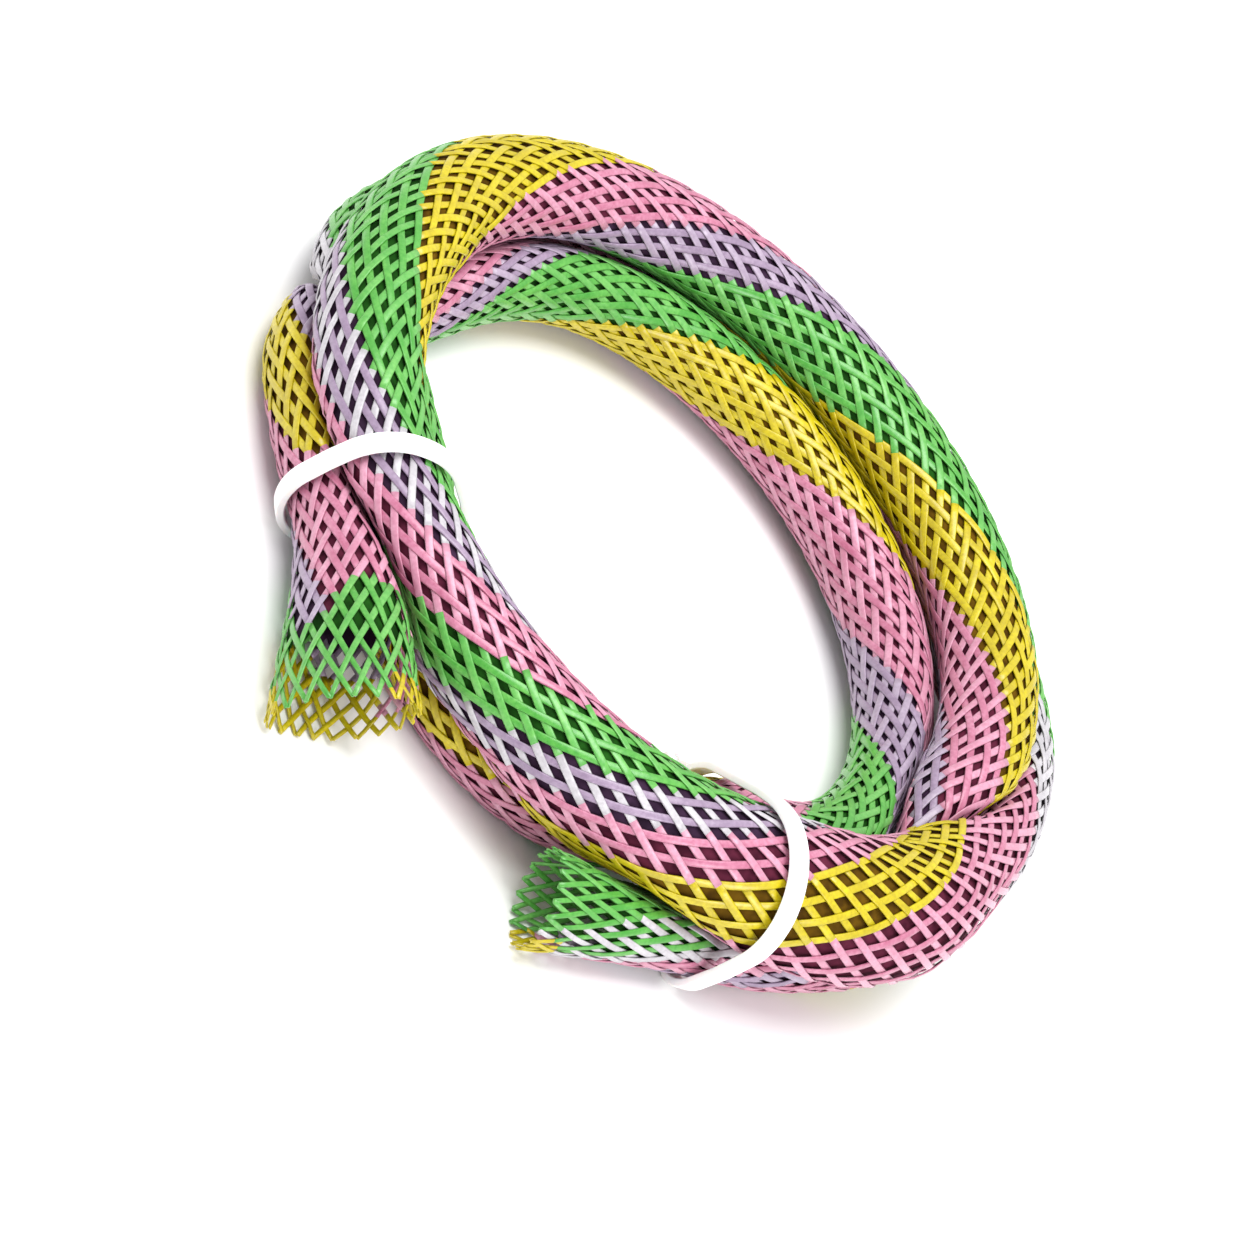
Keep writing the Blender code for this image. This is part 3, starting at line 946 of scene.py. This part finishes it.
# %% Nylon
SHRINK_WAVE = 5.56
nylon, tree, shader = new_material("natural_nylon")
place = add_node(tree, "ShaderNodeTexCoord").outputs["Object"]
slow = add_node(
    tree, "ShaderNodeTexNoise", Vector=place, Scale=noise_scale(SHRINK_WAVE), Detail=2.0
)
milk = add_node(
    tree, "ShaderNodeMix", {"data_type": "RGBA"},
    Factor=slow.outputs["Fac"], _6=linear("f3f1ef"), _7=linear("fbfaf9"),
)
tree.links.new(milk.outputs[2], shader.inputs["Base Color"])
skin_gloss = add_node(
    tree, "ShaderNodeMapRange",
    Value=slow.outputs["Fac"], **{"To Min": 0.28, "To Max": 0.40},
)
tree.links.new(skin_gloss.outputs[0], shader.inputs["Roughness"])
shader.inputs["IOR"].default_value = 1.53
shader.inputs["Subsurface Weight"].default_value = 0.15
shader.inputs["Subsurface Scale"].default_value = 0.001
ripple = add_node(
    tree, "ShaderNodeBump", Height=slow.outputs["Fac"], Strength=0.1, Distance=0.00005
)
tree.links.new(ripple.outputs["Normal"], shader.inputs["Normal"])
for piece in ties:
    piece.data.materials.append(nylon)
print("nylon pieces:", len(ties))

# %% [markdown]
# ## The plain tube hidden
# The strands and their shade together take the place of the model's plain tube, so
# that tube is hidden.

# %% The plain tube hidden
for piece in (shade, *strands.values()):
    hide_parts("braided_sleeve")

# %% [markdown]
# ## Floor, light and camera
# The picture is a studio shot on white: light from all round, a broad soft lamp above
# and a weaker one from the side to draw the ridges. LAMPS gives each one's name,
# place, size and power. The camera looks down at the coil at 33.5 degrees and is
# rolled, so that the coil's ring stands tilted.

# %% Floor
FLOOR_HALF = 3.0
signs = ((-1, -1), (1, -1), (1, 1), (-1, 1))
floor_mesh = bpy.data.meshes.new("floor")
floor_mesh.from_pydata(
    [(x * FLOOR_HALF, y * FLOOR_HALF, 0.0) for x, y in signs], [], [(0, 1, 2, 3)]
)
floor = bpy.data.objects.new("floor", floor_mesh)
bpy.context.scene.collection.objects.link(floor)
paper, tree, shader = new_material("pale_paper")
shader.inputs["Base Color"].default_value = linear("f6f6f6")
shader.inputs["Roughness"].default_value = 0.8
floor_mesh.materials.append(paper)
print("floor in m:", 2 * FLOOR_HALF)

# %% Lamps
ROOM_LIGHT = 0.84
LAMPS = (("key", (-0.12, -0.12, 0.80), 0.60, 8.0), ("side", (0.65, -0.45, 0.35), 0.35, 3.5))

world = bpy.data.worlds.new("studio")
world.use_nodes = True
world.node_tree.nodes["Background"].inputs["Color"].default_value = (1.0, 1.0, 1.0, 1.0)
world.node_tree.nodes["Background"].inputs["Strength"].default_value = ROOM_LIGHT
bpy.context.scene.world = world
bpy.context.scene.view_settings.view_transform = "Standard"

for name, place, size, power in LAMPS:
    lamp = bpy.data.lights.new(name, "AREA")
    lamp.size = size
    lamp.energy = power
    holder = bpy.data.objects.new(name, lamp)
    holder.location = place
    holder.rotation_mode = "QUATERNION"
    holder.rotation_quaternion = (-Vector(place)).to_track_quat("-Z", "Y")
    bpy.context.scene.collection.objects.link(holder)
print("lamps:", [lamp[0] for lamp in LAMPS])

# %% Camera
CAMERA_AIM = Vector((-0.00071, 0.01066, 0.011))
CAMERA_DISTANCE = 0.956
CAMERA_ELEVATION = math.radians(33.5)
CAMERA_ROLL = math.radians(51.4)
CAMERA_LEFT, CAMERA_DOWN = 0.0050, 0.0094
CAMERA_LENS = 215.6

back = Vector((0.0, -math.cos(CAMERA_ELEVATION), math.sin(CAMERA_ELEVATION)))
level_right = Vector((1.0, 0.0, 0.0))
level_up = back.cross(level_right)
right = level_right * math.cos(CAMERA_ROLL) + level_up * math.sin(CAMERA_ROLL)
up = level_up * math.cos(CAMERA_ROLL) - level_right * math.sin(CAMERA_ROLL)
place = CAMERA_AIM + back * CAMERA_DISTANCE - right * CAMERA_LEFT - up * CAMERA_DOWN

camera_data = bpy.data.cameras.new("camera")
camera_data.lens = CAMERA_LENS
camera_data.sensor_width = 36.0
camera = bpy.data.objects.new("camera", camera_data)
pose = Matrix((right, up, back)).transposed().to_4x4()
pose.translation = place
camera.matrix_world = pose
bpy.context.scene.collection.objects.link(camera)
bpy.context.scene.camera = camera
print("camera at m:", [round(v, 3) for v in place])
